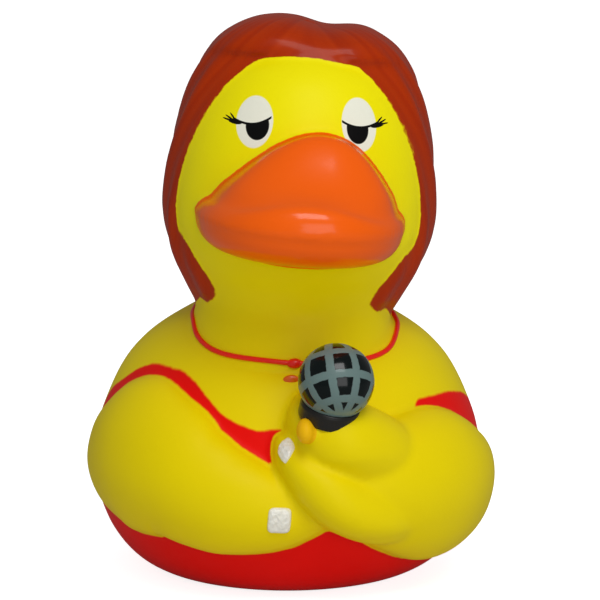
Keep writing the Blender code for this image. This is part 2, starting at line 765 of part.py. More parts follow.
def main():
    clear_scene()
    duck = bpy.data.collections.new("rubber_duck")
    helpers = bpy.data.collections.new("forms")
    bpy.context.scene.collection.children.link(duck)
    bpy.context.scene.collection.children.link(helpers)
    paint = {name: make_material(name) for name in COLOURS}
    yellow = paint["vinyl_yellow"]
    dress = paint["dress_paint"]

    shell = add_moved_sphere("duck_shell", BODY_GRID, place_on_body(0.0), yellow, duck)
    paint_dress(shell, dress)
    tail = add_moved_sphere("tail", TAIL_GRID, place_on_tail(0.0), dress, helpers)
    head = add_moved_sphere("head", HEAD_GRID, place_on_head(0.0), yellow, helpers)
    hair = add_moved_sphere("hair", HAIR_GRID, place_on_hair, paint["hair_paint"], helpers)
    bill = add_bill(paint["bill_paint"], helpers)
    hands = add_hands(yellow, helpers)
    microphone = add_microphone(paint["microphone_black"], yellow, helpers)
    stones = add_stones(paint["stone_white"], helpers)
    join(shell, [tail, head, hair] + bill + hands + microphone + stones, "UNION")
    join(shell, add_hollows(yellow, helpers), "DIFFERENCE")


main()
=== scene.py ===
import math

import bmesh
import bpy
import numpy as np
from mathutils import Matrix, Vector
from mathutils.bvhtree import BVHTree


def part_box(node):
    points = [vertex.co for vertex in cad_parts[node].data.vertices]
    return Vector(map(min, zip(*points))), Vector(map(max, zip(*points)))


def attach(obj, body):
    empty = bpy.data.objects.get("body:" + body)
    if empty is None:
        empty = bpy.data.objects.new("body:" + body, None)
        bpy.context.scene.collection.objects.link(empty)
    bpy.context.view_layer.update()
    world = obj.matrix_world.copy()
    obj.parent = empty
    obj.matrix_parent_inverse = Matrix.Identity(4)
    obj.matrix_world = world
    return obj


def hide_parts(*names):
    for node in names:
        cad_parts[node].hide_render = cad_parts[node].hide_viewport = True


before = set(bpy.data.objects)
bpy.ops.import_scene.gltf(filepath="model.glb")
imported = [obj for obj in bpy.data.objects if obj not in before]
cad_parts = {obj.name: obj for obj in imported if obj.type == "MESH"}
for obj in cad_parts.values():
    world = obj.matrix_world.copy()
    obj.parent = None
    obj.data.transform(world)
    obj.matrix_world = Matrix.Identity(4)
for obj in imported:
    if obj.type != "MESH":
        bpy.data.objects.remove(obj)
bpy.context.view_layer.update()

# A soft vinyl duck dressed as a singer. The imported shell gives the size; every form below
# is laid out in millimetres of a 92.96 mm tall duck and scaled to the shell in model.glb.
shellLow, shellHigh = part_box("duck_shell")
mm = (shellHigh.z - shellLow.z) / 92.96
quarter = math.pi / 2

print("frame: shell", [round(1000 * (b - a), 1) for a, b in zip(shellLow, shellHigh)], "mm")

photoView = {
    "target": Vector((1.9, -5.0, 45.7)) * mm,
    "distance": 460 * mm,
    "azimuth": math.radians(-3),
    "elevation": math.radians(9),
    "widthAtTarget": 100 * mm,
}


# Tables and small helpers

def readTable(rows, keys):  # every column at each key, on smooth curves that never overshoot
    rows = np.array(rows, float)
    at, values = rows[:, 0], rows[:, 1:]
    keys = np.clip(keys, at[0], at[-1])
    steps = np.diff(values, axis=0) / np.diff(at)[:, None]
    product = steps[:-1] * steps[1:]
    total = np.where(product > 0, steps[:-1] + steps[1:], 1.0)
    slopes = np.vstack([steps[:1], np.where(product > 0, 2 * product / total, 0.0), steps[-1:]])
    i = np.clip(np.searchsorted(at, keys, side="right") - 1, 0, len(at) - 2)
    span = (at[i + 1] - at[i])[:, None]
    t = (keys - at[i])[:, None] / span
    return (
        (2 * t**3 - 3 * t**2 + 1) * values[i]
        + (t**3 - 2 * t**2 + t) * span * slopes[i]
        + (3 * t**2 - 2 * t**3) * values[i + 1]
        + (t**3 - t**2) * span * slopes[i + 1]
    )


def stack(x, y, z):
    return np.stack([x, y, z], axis=1)


def unit(vectors):
    return vectors / np.maximum(np.linalg.norm(vectors, axis=1, keepdims=True), 1e-12)


def signedPower(value, power):
    return np.copysign(np.abs(value) ** power, value)


def turned(points, matrix):
    return points @ np.array(matrix).T


def spreadRings(share):  # rings closer together near both ends
    return 0.6 * (0.5 - 0.5 * np.cos(np.pi * share)) + 0.4 * share


# Body: a round bowl with a flat base

body = {
    "height": 47.5,
    "halfWidth": 32.8,
    "front": 34.0,
    "back": 35.5,
    "flatShare": 0.07,
    # share of the height, then share of the widest reach
    "outline": (
        (0.0, 0.603), (0.02, 0.700), (0.06, 0.795), (0.12, 0.875), (0.19, 0.934),
        (0.29, 0.981), (0.40, 1.0), (0.51, 0.975), (0.62, 0.92), (0.73, 0.84),
        (0.815, 0.735), (0.90, 0.56), (0.96, 0.370), (1.0, 0.0),
    ),
}


def bodyPoint(azimuth, height, inset=0.0):
    reach = readTable(body["outline"], height / body["height"])[:, 0]
    forward = np.cos(azimuth)
    depth = np.where(forward > 0, body["front"], body["back"])
    x = np.maximum(reach * body["halfWidth"] - inset, 0) * np.sin(azimuth)
    y = -np.maximum(reach * depth - inset, 0) * forward
    return stack(x, y, height)


def bodyNormal(azimuth, height):
    step = math.radians(1)
    rise = 0.01 * body["height"]
    roundIt = bodyPoint(azimuth + step, height) - bodyPoint(azimuth - step, height)
    upIt = bodyPoint(azimuth, height + rise) - bodyPoint(azimuth, height - rise)
    return unit(np.cross(roundIt, upIt))


def placeBody(inset=0.0):
    def place(azimuth, latitude):
        share = latitude / np.pi + 0.5
        flat = body["flatShare"]
        risen = spreadRings(np.clip((share - flat) / (1 - flat), 0, 1))
        points = bodyPoint(azimuth, risen * body["height"], inset)
        points[:, :2] *= np.minimum(share / flat, 1.0)[:, None]
        points[:, 2] = inset + risen * (body["height"] - 2 * inset)
        return points
    return place


def offSkin(arc, height, lift):  # points off the body's skin, by arc round it and height
    azimuth = arc / body["halfWidth"]
    height = np.clip(height, 0.02 * body["height"], 0.97 * body["height"])
    return bodyPoint(azimuth, height) + bodyNormal(azimuth, height) * lift[:, None]


# Wings and fingers, wrapped over the body's skin

# share along the form, degrees round the body, share of its height, half width, thickness
hands = {
    "rightWing": (
        (-1.0, -92.5, 0.412, 12.5, 2.5), (-0.6, -71.0, 0.453, 13.0, 3.6),
        (-0.3, -54.7, 0.478, 13.4, 4.8), (0.0, -38.4, 0.451, 11.6, 5.4),
        (0.17, -29.2, 0.406, 10.3, 5.6), (0.35, -19.6, 0.369, 9.7, 5.6),
        (0.7, -0.5, 0.335, 7.6, 5.2), (1.0, 15.7, 0.335, 3.5, 4.6),
    ),
    "leftWing": (
        (-1.0, 97.8, 0.337, 10.5, 2.2), (-0.5, 71.6, 0.333, 11.1, 3.9),
        (0.0, 44.5, 0.383, 12.6, 6.4), (0.35, 26.2, 0.417, 11.2, 7.2),
        (0.65, 10.1, 0.455, 8.6, 7.6), (0.85, 0.5, 0.500, 8.6, 7.6),
        (1.0, -7.0, 0.540, 7.6, 7.2),
    ),
    "lowerFinger": (
        (-1.0, 38.4, 0.270, 4.5, 6.5), (0.0, 14.8, 0.362, 4.8, 8.4),
        (0.5, 3.8, 0.455, 4.9, 9.0), (0.8, -2.4, 0.540, 4.9, 9.0),
        (1.0, -6.0, 0.600, 4.4, 8.4),
    ),
    "palm": (
        (-1.0, 40.2, 0.450, 7.5, 5.6), (-0.3, 21.0, 0.530, 6.8, 8.6),
        (0.3, 8.7, 0.580, 6.2, 10.6), (0.7, 1.6, 0.610, 5.6, 10.9),
        (1.0, -3.6, 0.625, 5.0, 10.4),
    ),
    "upperFinger": (
        (-1.0, 13.0, 0.505, 4.8, 7.4), (0.0, 4.6, 0.620, 4.8, 7.2),
        (1.0, 0.8, 0.725, 3.6, 5.4),
    ),
}

wings = {
    "sink": 1.3,
    "halfLength": 20.0,
    "thinnest": 0.3,
}


def placeWing(rows, inset=0.0):  # a form wrapped over the body's skin
    beside = 0.02

    def middle(share):
        degreesRound, height = readTable(rows, share)[:, :2].T
        return np.radians(degreesRound) * body["halfWidth"], height * body["height"]

    def place(azimuth, latitude):
        share = np.sin(latitude)
        sizes = readTable(rows, share)[:, 2:].T
        halfWidth, thickness = (np.maximum(size - inset, wings["thinnest"]) for size in sizes)
        sink = wings["sink"] + inset
        arcAhead, heightAhead = middle(np.minimum(share + beside, 1))
        arcBehind, heightBehind = middle(np.maximum(share - beside, -1))
        length = np.hypot(arcAhead - arcBehind, heightAhead - heightBehind)
        closing = np.cos(latitude)
        swing = halfWidth * closing * np.sin(azimuth) / length
        arc, height = middle(share * (1 - inset / wings["halfLength"]))
        arc = arc - (heightAhead - heightBehind) * swing
        height = height + (arcAhead - arcBehind) * swing
        out = np.cos(azimuth)
        lift = np.where(out > 0, thickness + sink, wings["sink"]) * out * closing - sink
        return offSkin(arc, height, lift)
    return place


tail = {
    "root": Vector((0.0, 17.75, 22.8)),
    "bend": Vector((0.0, 35.5, 25.2)),
    "tip": Vector((0.0, 41.5, 38.0)),
    "halfWidth": 17.0,
    "halfDepth": 11.0,
    "taper": 0.62,
}


def placeTail(inset=0.0):
    root, bend, tip = (np.array(tail[key]) for key in ("root", "bend", "tip"))
    side = np.array([1.0, 0.0, 0.0])

    def place(azimuth, latitude):
        t = (0.5 + 0.5 * np.sin(latitude))[:, None]
        middle = root * (1 - t) ** 2 + bend * 2 * t * (1 - t) + tip * t**2
        along = unit((bend - root) * (1 - t) + (tip - bend) * t)
        up = unit(np.cross(side, along))
        taper = (1 - tail["taper"] * t) * np.cos(latitude)[:, None]
        wide = (tail["halfWidth"] - inset) * taper * np.sin(azimuth)[:, None]
        deep = (tail["halfDepth"] - inset) * taper * np.cos(azimuth)[:, None]
        return middle - along * inset * (2 * t - 1) + side * wide + up * deep
    return place


# Head and neck: one leaning egg

head = {
    "base": 38.0,
    "height": 52.0,
    "halfWidth": 20.9,
    "front": 22.0,
    "back": 20.0,
    "middle": Vector((0.6, -8.0, 45.0)),
    "lean": math.radians(3.3),
    "turn": math.radians(-1.0),
    "outline": (
        (0.0, 0.84), (0.10, 0.785), (0.16, 0.755), (0.22, 0.79), (0.28, 0.872),
        (0.35, 0.953), (0.42, 0.992), (0.50, 1.0), (0.60, 0.984), (0.70, 0.94),
        (0.79, 0.862), (0.865, 0.762), (0.93, 0.61), (0.975, 0.41), (1.0, 0.0),
    ),
}

headSpin = Matrix.Rotation(head["turn"], 3, "Z") @ Matrix.Rotation(head["lean"], 3, "Y")


def poseHead(points):
    middle = np.array(head["middle"])
    return middle + turned(points - np.array([0, 0, middle[2]]), headSpin)


def headReach(height):
    return readTable(head["outline"], (height - head["base"]) / head["height"])[:, 0]


def placeHead(inset=0.0):
    def place(azimuth, latitude):
        share = spreadRings(latitude / np.pi + 0.5)
        reach = np.where(share > 0, headReach(head["base"] + share * head["height"]), 0)
        forward = np.cos(azimuth)
        depth = np.where(forward > 0, head["front"], head["back"])
        x = np.maximum(reach * head["halfWidth"] - inset, 0) * np.sin(azimuth)
        y = -np.maximum(reach * depth - inset, 0) * forward
        return poseHead(stack(x, y, head["base"] + share * (head["height"] - inset)))
    return place


# Hair: a moulded mass over the crown, sides and back

hair = {
    "hem": 33.0,
    "height": 60.4,
    "halfWidth": 22.4,
    "back": 22.5,
    "behindHead": 4.0,
    "fringe": 1.3,
    "frontPower": 3.2,
    "napePower": 2.0,
    "turn": math.radians(-3.5),
    "looseHairline": 0.6,
    "looseReach": 0.86,
    "partingX": 2.6,
    "partingDepth": 1.2,
    "partingHalfWidth": 4.2,
    "crownFrom": 0.7,
    "crownDrop": 0.5,
    "crownDropWidth": 2.0,
    "lockDepth": 0.45,
    "locksRound": 15,
    "lockSweep": math.radians(70),
    "frontFade": 0.7,
    # share from hem to top; widest reach sideways and back; hairline; crown's forward reach
    "outline": (
        (0.0, 0.10, 1.20, 0.97, 0.0), (0.05, 0.50, 1.25, 0.97, 0.0),
        (0.12, 0.66, 1.18, 0.97, 0.0), (0.17, 0.70, 1.10, 0.92, 0.0),
        (0.20, 0.73, 1.06, 0.83, 0.0), (0.26, 0.81, 1.02, 0.78, 0.0),
        (0.31, 0.88, 1.0, 0.82, 0.0), (0.36, 0.94, 1.0, 0.88, 0.0),
        (0.42, 0.98, 1.0, 0.93, 0.0), (0.48, 0.995, 1.0, 0.945, 0.0),
        (0.56, 0.985, 1.0, 0.935, 0.0), (0.64, 0.955, 0.985, 0.91, 0.0),
        (0.72, 0.905, 0.955, 0.865, 0.0), (0.80, 0.845, 0.89, 0.80, 0.0),
        (0.86, 0.775, 0.81, 0.70, 0.4), (0.885, 0.735, 0.77, 0.60, 0.68),
        (0.91, 0.69, 0.72, 0.30, 0.735), (0.935, 0.63, 0.66, 0.0, 0.715),
        (0.96, 0.54, 0.56, 0.0, 0.655), (0.98, 0.43, 0.45, 0.0, 0.55),
        (0.993, 0.28, 0.30, 0.0, 0.37), (1.0, 0.0, 0.0, 0.0, 0.0),
    ),
}

hairSpin = Matrix.Rotation(hair["turn"], 3, "Z")


def hairPower(share):  # boxy round the face, oval at the neck
    neckTop, jaw = 0.2, 0.32
    blend = np.clip((share - neckTop) / (jaw - neckTop), 0, 1)
    return hair["napePower"] + (hair["frontPower"] - hair["napePower"]) * blend


def hairFront(height, halfWidth, hairline, power):  # so that it leaves the head at the hairline
    reach = headReach(height)
    across = hairline * reach * head["halfWidth"]
    faceY = -reach * head["front"] * np.sqrt(np.maximum(1 - hairline**2, 0))
    share = np.maximum(1 - np.minimum(across / halfWidth, 0.98) ** power, 0) ** (1 / power)
    front = (hair["behindHead"] - faceY) / share + hair["fringe"] * (1 - hairline)
    loose = hair["behindHead"] + hair["looseReach"] * reach * head["front"]
    return np.where(hairline > hair["looseHairline"], np.minimum(front, loose), front)


def lockHeight(azimuth, share):  # least at the hem, crown and brow
    hem, crown = 0.1, 0.15
    swept = np.abs(azimuth) + hair["lockSweep"] * share**2
    lock = hair["lockDepth"] * np.sin(hair["locksRound"] * swept)
    lock = lock * np.minimum(share / hem, 1) * np.minimum((1 - share) / crown, 1)
    return lock * (1 - hair["frontFade"] * np.maximum(np.cos(azimuth), 0))


def crownDip(x, share):
    crown = np.clip((share - hair["crownFrom"]) / (1 - hair["crownFrom"]), 0, 1)
    groove = np.exp(-(((x - hair["partingX"]) / hair["partingHalfWidth"]) ** 2))
    slope = 1 / (1 + np.exp(-(x - hair["partingX"]) / hair["crownDropWidth"]))
    return crown * (hair["partingDepth"] * groove + hair["crownDrop"] * slope)


def placeHair(azimuth, latitude):
    azimuth = (azimuth + np.pi) % (2 * np.pi) - np.pi
    share = spreadRings(latitude / np.pi + 0.5)
    sideways, backwards, hairline, crownReach = readTable(hair["outline"], share).T
    height = hair["hem"] + share * hair["height"]
    halfWidth = np.maximum(sideways * hair["halfWidth"], 0.2)
    forward, side = np.cos(azimuth), np.sin(azimuth)
    power = hairPower(share)
    front = hairFront(height, halfWidth, hairline, power)
    front = np.maximum(front, crownReach * hair["halfWidth"])
    ahead = forward > 0
    x = halfWidth * np.where(ahead, signedPower(side, 2 / power), side)
    yAhead = hair["behindHead"] - front * np.maximum(forward, 0) ** (2 / power)
    yBehind = hair["behindHead"] - backwards * hair["back"] * forward
    y = np.where(ahead, yAhead, yBehind)
    out = unit(stack(x, y - hair["behindHead"], 0 * x))
    points = stack(x, y, height - crownDip(x, share))
    points = points + out * lockHeight(azimuth, share)[:, None]
    return poseHead(turned(points, hairSpin))


def placeHairHollow(azimuth, latitude):
    share = spreadRings(latitude / np.pi + 0.5)
    sideways, backwards = readTable(hair["outline"], share).T[:2]
    inset = finish["wall"] + hair["lockDepth"]
    x = np.maximum(sideways * hair["halfWidth"] - inset, 0) * np.sin(azimuth)
    reach = np.maximum(backwards * hair["back"] - inset, 0)
    y = hair["behindHead"] - reach * np.minimum(np.cos(azimuth), 0.35)
    height = hair["hem"] + share * (hair["height"] - inset)
    return poseHead(turned(stack(x, y, height), hairSpin))


# Bill: two mandibles, the upper one with a lip and a saddle up to the face

bill = {
    "middle": Vector((-0.3, -12.98, 61.6)),
    "lean": math.radians(1.6),
    "planPower": 2.3,
    "overlap": 1.0,
    "upperHalfWidth": 16.8,
    "upperReach": 23.5,
    "upperRise": 9.7,
    "upperRimPower": 24,
    "lipAtTip": 4.6,
    "lipAtCorner": 1.3,
    "lipFall": 2,
    "saddleReach": 13.6,
    "saddleHollow": 2.8,
    "saddleArch": 2.0,
    "saddleDish": 0.1,
    "saddleLean": 0.15,
    "lowerHalfWidth": 16.6,
    "lowerReach": 22.9,
    "lowerRimPower": 10,
    "lowerLip": 4.9,
    "lowerRoot": 3.0,
    "creaseDepth": 1.8,
    "creaseAt": 0.90,
    "creaseWidth": 0.05,
    "hollowMiddle": Vector((0.0, -7.52, 2.23)),
    "hollowHalfSizes": Vector((10.9, 10.5, 3.49)),
}

billSpin = Matrix.Rotation(bill["lean"], 3, "Y")


def poseBill(points):  # from the bill's own frame, with its mouth line at z = 0
    return poseHead(np.array(bill["middle"]) + turned(points, billSpin))


def billPlan(azimuth, halfWidth, reach):
    x = halfWidth * signedPower(np.sin(azimuth), 2 / bill["planPower"])
    y = -reach * signedPower(np.cos(azimuth), 2 / bill["planPower"])
    return x, y


def billRise(x, y):  # the saddle above the lip: a scoop between raised flanks
    rim = np.maximum(1 - (np.abs(y) / bill["upperReach"]) ** bill["planPower"], 1e-6)
    edge = bill["upperHalfWidth"] * rim ** (1 / bill["planPower"])
    across = np.minimum(np.abs(x) / edge, 1)
    ahead = (bill["upperReach"] + y) / bill["saddleReach"]
    back = np.clip(ahead * (1 + bill["saddleDish"] * across**2), 0, 1)
    slope = 1 - (1 - back ** bill["saddleHollow"]) ** 2
    return bill["upperRise"] * slope * (1 - across ** bill["saddleArch"])


def lipHeight(x):  # the sharp lip, an arch from corner to corner
    side = np.minimum(np.abs(x) / bill["upperHalfWidth"], 1)
    arch = (1 - side ** bill["planPower"]) ** bill["lipFall"]
    return bill["lipAtCorner"] + (bill["lipAtTip"] - bill["lipAtCorner"]) * arch


def placeUpperBill(azimuth, latitude):
    r = np.cos(latitude)
    x, y = (r * v for v in billPlan(azimuth, bill["upperHalfWidth"], bill["upperReach"]))
    rounding = np.sqrt(np.maximum(1 - r ** bill["upperRimPower"], 0))
    top = (lipHeight(x) + billRise(x, y)) * rounding
    side = np.abs(x) / bill["upperHalfWidth"]
    beside = side**2 * (1 - side**6)  # most between the tip and the corners
    crease = beside * np.exp(-(((r - bill["creaseAt"]) / bill["creaseWidth"]) ** 2))
    top = top - bill["creaseDepth"] * crease
    z = np.where(latitude > 0, top, -bill["overlap"] * rounding)
    return poseBill(stack(x + bill["saddleLean"] * np.maximum(z, 0), y, z))


def placeLowerBill(azimuth, latitude):
    r = np.cos(latitude)
    x, y = (r * v for v in billPlan(azimuth, bill["lowerHalfWidth"], bill["lowerReach"]))
    rounding = np.sqrt(np.maximum(1 - r ** bill["lowerRimPower"], 0))
    below = -(bill["lowerLip"] + bill["lowerRoot"] * (1 - r)) * rounding
    return poseBill(stack(x, y, np.where(latitude > 0, bill["overlap"] * rounding, below)))


# Meshes

def placeBall(middle, halfSizes):
    def place(azimuth, latitude):
        flat = np.cos(latitude)
        unitPoints = stack(flat * np.sin(azimuth), -flat * np.cos(azimuth), np.sin(latitude))
        return np.array(middle) + unitPoints * np.array(halfSizes)
    return place


def gridForm(place, around, rings):  # a closed form of rings, its points moved by place()
    azimuths = np.arange(around) * 2 * np.pi / around
    latitudes = (np.arange(1, rings) / rings - 0.5) * np.pi
    ringPoints = place(np.tile(azimuths, rings - 1), np.repeat(latitudes, around))
    points = np.vstack([ringPoints, place(np.zeros(2), np.array([-quarter, quarter]))])
    start = np.arange(rings - 2)[:, None] * around
    here = np.arange(around)[None, :]
    after = (here + 1) % around
    corners = [start + here, start + after, start + around + after, start + around + here]
    faces = np.stack(corners, axis=-1).reshape(-1, 4).tolist()
    south, north, top = len(points) - 2, len(points) - 1, (rings - 2) * around
    for i in range(around):
        j = (i + 1) % around
        faces.append([south, j, i])
        faces.append([north, top + i, top + j])
    return points * mm, faces


def meshOf(name, points, faces, outward=True):
    mesh = bpy.data.meshes.new(name)
    mesh.from_pydata(points.tolist(), [], faces)
    shape = bmesh.new()
    shape.from_mesh(mesh)
    if (shape.calc_volume(signed=True) > 0) != outward:
        bmesh.ops.reverse_faces(shape, faces=shape.faces)
    shape.to_mesh(mesh)
    shape.free()
    mesh.shade_smooth()
    return mesh


def addPiece(name, mesh, material=None):
    piece = bpy.data.objects.new(name, mesh)
    bpy.context.scene.collection.objects.link(piece)
    if material:
        mesh.materials.append(material)
    return piece


def applied(piece, name):  # the piece's mesh with its modifiers applied; the piece goes
    bpy.context.view_layer.update()
    seen = piece.evaluated_get(bpy.context.evaluated_depsgraph_get())
    mesh = bpy.data.meshes.new_from_object(seen)
    mesh.name = name
    old = piece.data
    bpy.data.objects.remove(piece)
    bpy.data.meshes.remove(old)
    return mesh


def joined(name, meshes):
    shape = bmesh.new()
    for mesh in meshes:
        shape.from_mesh(mesh)
    whole = bpy.data.meshes.new(name)
    shape.to_mesh(whole)
    shape.free()
    for mesh in meshes:
        bpy.data.meshes.remove(mesh)
    return whole


finish = {
    "voxel": 0.6,
    "hollowVoxel": 1.7,
    "smoothing": 5,
    "nearForm": 0.8,  # points further than this from every form belong to the hollow
    "seamWidth": 0.35,  # softened creases this wide stay; the true forms return over seamBlend
    "seamBlend": 0.8,
    "wall": 2.2,
    "ventRadius": 1.5,
    "ventBehind": 9.0,
}


def fused(name, meshes, voxel):  # one skin round overlapping forms, its creases softened
    piece = addPiece(name, joined(name, meshes))
    remesh = piece.modifiers.new("skin", "REMESH")
    remesh.mode = "VOXEL"
    remesh.voxel_size = voxel * mm
    smooth = piece.modifiers.new("soften", "SMOOTH")
    smooth.factor = 0.5
    smooth.iterations = finish["smoothing"]
    return applied(piece, name)


# The duck: forms, one skin, an even wall and a vent

microphone = {
    "collarPlace": (7.6, 0.638),
    "collarOffChest": 6.8,
    "collarRadius": 4.8,
    "collarHeight": 3.0,
    "collarRounding": 0.7,
    "axis": Vector((0.19, -0.25, 0.95)).normalized(),
    "ballAbove": 5.3,
    "ballRadius": 5.95,
    "stemRadius": 3.4,
    "stemFoot": 3.2,
    "stemRounding": 0.6,
    # the printed lattice: its own pole leans back, with a band round the foot of the ball
    "latticePole": Vector((-0.10, 0.55, 0.83)).normalized(),
    "ringDegrees": (30.0, -11.0, -50.0),
    "barHalfDegrees": 6.2,
    "meridians": 9,
    "meridianTurn": math.radians(-12),
    "footBand": -0.56,
    "lattice": (0.135, 0.205, 0.195),
    "black": (0.002, 0.005, 0.005),
    "collarBlack": (0.012, 0.011, 0.009),
    "edgeWobble": 2.4,  # degrees, as are the soft edges of the bars
    "wobbleScale": 1400,
    "softEdge": 0.7,
    "softFoot": 0.02,
    "rough": (0.16, 0.42),  # the black, then the lattice
    "printProud": 0.05,
}

thumb = {
    "fromCollar": Vector((-3.9, -3.2, -2.4)),
    "halfSizes": Vector((1.4, 2.2, 2.0)),
    "colour": (0.90, 0.50, 0.004),
}

collarMiddle = offSkin(
    np.array([math.radians(microphone["collarPlace"][0]) * body["halfWidth"]]),
    np.array([microphone["collarPlace"][1] * body["height"]]),
    np.array([microphone["collarOffChest"]]),
)[0]
micAxis = np.array(microphone["axis"])
ballMiddle = collarMiddle + micAxis * microphone["ballAbove"]

formPlaces = {
    "body": (placeBody(), 220, 160),
    "tail": (placeTail(), 96, 72),
    "head": (placeHead(), 180, 140),
    "hair": (placeHair, 300, 200),
    "upperBill": (placeUpperBill, 220, 110),
    "lowerBill": (placeLowerBill, 200, 80),
    "thumb": (placeBall(collarMiddle + np.array(thumb["fromCollar"]), thumb["halfSizes"]), 40, 28),
}
for handName, handRows in hands.items():
    formPlaces[handName] = (placeWing(handRows), 120, 110)

forms = {name: gridForm(*place) for name, place in formPlaces.items()}
print("forms:", len(forms), "laid out")

skinMesh = fused("skin", [meshOf(n, *f) for n, f in forms.items()], finish["voxel"])

wall = finish["wall"]
hollowPlaces = [
    (placeBody(wall), 48, 32), (placeHead(wall), 48, 32), (placeHairHollow, 48, 32),
    (placeTail(wall), 32, 20), (placeWing(hands["rightWing"], wall), 32, 20),
    (placeWing(hands["leftWing"], wall), 32, 20),
]
billHollow = poseBill(np.array([bill["hollowMiddle"]]))[0]
hollowPlaces.append((placeBall(billHollow, bill["hollowHalfSizes"]), 32, 20))
hollow = [meshOf("hollow", *gridForm(*place)) for place in hollowPlaces]
hollowMesh = fused("hollow", hollow, finish["hollowVoxel"])
hollowMesh.flip_normals()

ventMesh = bpy.data.meshes.new("vent")
ventShape = bmesh.new()
bmesh.ops.create_cone(ventShape, cap_ends=True, segments=32, radius1=finish["ventRadius"] * mm,
                      radius2=finish["ventRadius"] * mm, depth=3 * wall * mm,
                      matrix=Matrix.Translation(Vector((0, finish["ventBehind"], 0)) * mm))
ventShape.to_mesh(ventMesh)
ventShape.free()
cutter = addPiece("cutter", ventMesh)
shell = addPiece("shell", joined("shell", [skinMesh, hollowMesh]))
cut = shell.modifiers.new("cut", "BOOLEAN")
cut.operation = "DIFFERENCE"
cut.solver = "EXACT"
cut.object = cutter
duckMesh = applied(shell, "duck")
bpy.data.objects.remove(cutter)
duckMesh.shade_smooth()
print("skin:", len(duckMesh.polygons), "faces")


# Each point's distance to every form gives the paint's edges and keeps true surfaces true

farOff = 3.0 * mm
points = np.zeros(len(duckMesh.vertices) * 3)
duckMesh.vertices.foreach_get("co", points)
points = points.reshape(-1, 3)
pointList = points.tolist()
distances = {}
footings = {}
for name, (formPoints, formFaces) in forms.items():
    tree = BVHTree.FromPolygons(formPoints.tolist(), formFaces)
    distance = np.full(len(points), farOff)
    footing = points.copy()
    for i, point in enumerate(pointList):
        foot, _, _, away = tree.find_nearest(point, farOff)
        if foot is not None:
            distance[i] = away
            footing[i] = foot
    distances[name] = distance / mm
    footings[name] = footing
print("distances: measured")

formNames = list(forms)
allDistances = np.stack([distances[name] for name in formNames], axis=1)
owner = allDistances.argmin(axis=1)
ranked = np.sort(allDistances, axis=1)
outer = ranked[:, 0] < finish["nearForm"]
keep = np.clip((ranked[:, 1] - finish["seamWidth"]) / finish["seamBlend"], 0, 1) * outer
keep = (keep * keep * (3 - 2 * keep))[:, None]
truePoints = np.stack([footings[name] for name in formNames], axis=1)[np.arange(len(points)), owner]
points = points * (1 - keep) + truePoints * keep
duckMesh.vertices.foreach_set("co", points.ravel())
duckMesh.update()


def sideOf(*names):  # millimetres inside a zone's edge, below 0 outside it
    inside = np.min([distances[name] for name in names], axis=0)
    outside = np.min([distances[name] for name in formNames if name not in names], axis=0)
    return outside - inside


def keepOnPoints(name, values):
    kept = duckMesh.attributes.new(name, "FLOAT", "POINT")
    kept.data.foreach_set("value", values.astype(np.float32))


dress = {
    # arc round the body and height of the top edge, in millimetres
    "neckline": (
        (-103.0, 24.0), (-75.0, 24.0), (-52.8, 25.3), (-50.0, 29.6), (-42.6, 33.3),
        (-37.3, 35.8), (-32.2, 36.9), (-25.0, 36.7), (-20.1, 35.4), (-16.4, 33.3),
        (-13.0, 31.1), (-9.9, 29.8), (-5.9, 28.9), (-3.2, 29.2), (3.0, 27.0),
        (14.0, 26.0), (21.0, 29.5), (24.9, 32.0), (32.2, 31.9), (41.0, 30.8), (50.3, 28.1),
        (75.0, 25.0), (103.0, 24.0),
    ),
    "colour": (0.86, 0.004, 0.002),
    "overspray": 0.28,
}

pointsMm = points / mm
arcRound = np.arctan2(pointsMm[:, 0], -pointsMm[:, 1]) * body["halfWidth"]
neckline = readTable(dress["neckline"], arcRound)[:, 0]
hairFrame = turned(pointsMm - np.array(head["middle"]), headSpin.transposed())
hairFrame = turned(hairFrame, hairSpin.transposed())
hairAround = np.arctan2(hairFrame[:, 0], -(hairFrame[:, 1] - hair["behindHead"]))
hairShare = (hairFrame[:, 2] + head["middle"].z - hair["hem"]) / hair["height"]

keepOnPoints("hairSide", sideOf("hair"))
keepOnPoints("billSide", sideOf("upperBill", "lowerBill"))
keepOnPoints("thumbSide", sideOf("thumb"))
keepOnPoints("clothSide", sideOf("body", "tail"))
keepOnPoints("belowNeckline", neckline - pointsMm[:, 2])
keepOnPoints("strand", np.abs(hairAround) + hair["lockSweep"] * np.clip(hairShare, 0, 1) ** 2)


# Materials

def addNode(tree, kind, x=0, y=0, **settings):
    node = tree.nodes.new(kind)
    node.location = (x, y)
    for key, value in settings.items():
        setattr(node, key, value)
    return node


def plug(tree, socket, value):  # a link from a node's socket, or a plain number or colour
    if isinstance(value, bpy.types.NodeSocket):
        tree.links.new(value, socket)
    elif isinstance(value, tuple) and len(value) == 3 and len(socket.default_value) == 4:
        socket.default_value = (*value, 1.0)
    else:
        socket.default_value = value


def calc(tree, operation, a, b=0.0):
    node = addNode(tree, "ShaderNodeMath", operation=operation)
    plug(tree, node.inputs[0], a)
    plug(tree, node.inputs[1], b)
    return node.outputs[0]


def softStep(tree, value, half):  # 0 below -half, 1 above half
    node = addNode(tree, "ShaderNodeMapRange", interpolation_type="SMOOTHSTEP")
    plug(tree, node.inputs["Value"], value)
    node.inputs["From Min"].default_value = -half
    node.inputs["From Max"].default_value = half
    return node.outputs["Result"]


def mixed(tree, amount, a, b, kind="RGBA"):
    node = addNode(tree, "ShaderNodeMix", data_type=kind)
    sockets = {"RGBA": (6, 7, 2), "FLOAT": (2, 3, 0)}[kind]
    plug(tree, node.inputs[0], amount)
    plug(tree, node.inputs[sockets[0]], a)
    plug(tree, node.inputs[sockets[1]], b)
    return node.outputs[sockets[2]]


